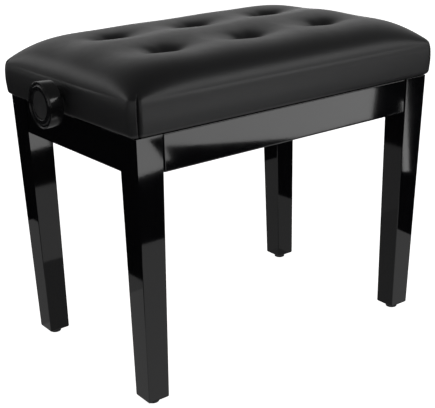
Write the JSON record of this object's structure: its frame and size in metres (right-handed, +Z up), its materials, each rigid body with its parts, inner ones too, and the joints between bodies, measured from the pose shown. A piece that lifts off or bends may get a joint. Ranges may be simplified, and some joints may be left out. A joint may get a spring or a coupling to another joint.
{
  "type": "piano bench",
  "caption": "Height-adjustable piano bench: box-edged buttoned cushion on a four-legged wooden frame, with side knobs turning a spindle that raises crossed steel arms.",
  "frame": {"origin": "on the floor under the middle of the bench, at the centre of the bounding box's bottom face", "axes": "+X along the seat's length, -Y is the front, +Z up"},
  "size_m": [0.637, 0.368, 0.5035],
  "materials": {
    "black_lacquer": "gloss",
    "black_leatherette": "satin",
    "foam": "matte",
    "raw_wood": "matte",
    "zinc_steel": "satin",
    "black_steel": "satin",
    "knob_plastic": "gloss",
    "glide_plastic": "matte"
  },
  "bodies": {
    "base": {"leg_front_left": "black_lacquer", "leg_front_right": "black_lacquer", "leg_back_left": "black_lacquer", "leg_back_right": "black_lacquer", "glide_front_left": "glide_plastic", "glide_front_right": "glide_plastic", "glide_back_left": "glide_plastic", "glide_back_right": "glide_plastic", "apron_front": "black_lacquer", "apron_back": "black_lacquer", "apron_left": "black_lacquer", "apron_right": "black_lacquer", "corner_block_front_left": "raw_wood", "corner_block_front_right": "raw_wood", "corner_block_back_left": "raw_wood", "corner_block_back_right": "raw_wood", "leg_bolt_front_left": "zinc_steel", "leg_bolt_front_right": "zinc_steel", "leg_bolt_back_left": "zinc_steel", "leg_bolt_back_right": "zinc_steel", "leg_nut_front_left": "zinc_steel", "leg_nut_front_right": "zinc_steel", "leg_nut_back_left": "zinc_steel", "leg_nut_back_right": "zinc_steel", "base_strip_front": "black_steel", "base_strip_back": "black_steel", "base_axle": "zinc_steel"},
    "seat": {"seat_cover": "black_leatherette", "foam_pad": "foam", "button_1": "black_leatherette", "button_2": "black_leatherette", "button_3": "black_leatherette", "button_4": "black_leatherette", "button_5": "black_leatherette", "button_6": "black_leatherette", "seat_board": "raw_wood", "seat_rail_front": "raw_wood", "seat_rail_back": "raw_wood", "seat_rail_left": "raw_wood", "seat_rail_right": "raw_wood", "seat_strip_front": "black_steel", "seat_strip_back": "black_steel", "seat_pivot_front": "zinc_steel", "seat_pivot_back": "zinc_steel", "spindle_bush_left": "glide_plastic", "spindle_bush_right": "glide_plastic"},
    "outer_arms": {"outer_arm_front": "black_steel", "outer_arm_back": "black_steel", "centre_pin_front": "zinc_steel", "centre_pin_back": "zinc_steel"},
    "inner_arms": {"inner_arm_front": "black_steel", "inner_arm_back": "black_steel", "sliding_axle": "zinc_steel"},
    "nut": {"nut_bar": "zinc_steel"},
    "spindle": {"spindle": "zinc_steel", "knob_left": "knob_plastic", "knob_right": "knob_plastic", "knob_cap_left": "knob_plastic", "knob_cap_right": "knob_plastic"}
  },
  "joints": [
    {"name": "seat_lift", "type": "slide", "parent": "base", "child": "seat", "axis": [0, 0, 1], "range_m": [0, 0.07]},
    {"name": "outer_arms_turn", "type": "hinge", "parent": "base", "child": "outer_arms", "pos_m": [-0.1676, 0, 0.3717], "axis": [0, -1, 0], "range_deg": [0, 12.3]},
    {"name": "inner_arms_turn", "type": "hinge", "parent": "seat", "child": "inner_arms", "pos_m": [-0.1676, 0, 0.4285], "axis": [0, 1, 0], "range_deg": [0, 12.3]},
    {"name": "nut_level", "type": "hinge", "parent": "outer_arms", "child": "nut", "pos_m": [0.1676, 0, 0.4285], "axis": [0, 1, 0], "range_deg": [0, 12.3]},
    {"name": "spindle_turn", "type": "hinge", "parent": "seat", "child": "spindle", "pos_m": [0, 0, 0.4285], "axis": [1, 0, 0], "range_deg": [0, 1780]}
  ],
  "couplings": [
    {"joint": "outer_arms_turn", "follows": "seat_lift", "rad_per_m": 3.046},
    {"joint": "inner_arms_turn", "follows": "seat_lift", "rad_per_m": 3.046},
    {"joint": "nut_level", "follows": "seat_lift", "rad_per_m": 3.046},
    {"joint": "spindle_turn", "follows": "seat_lift", "rad_per_m": 443.22}
  ]
}
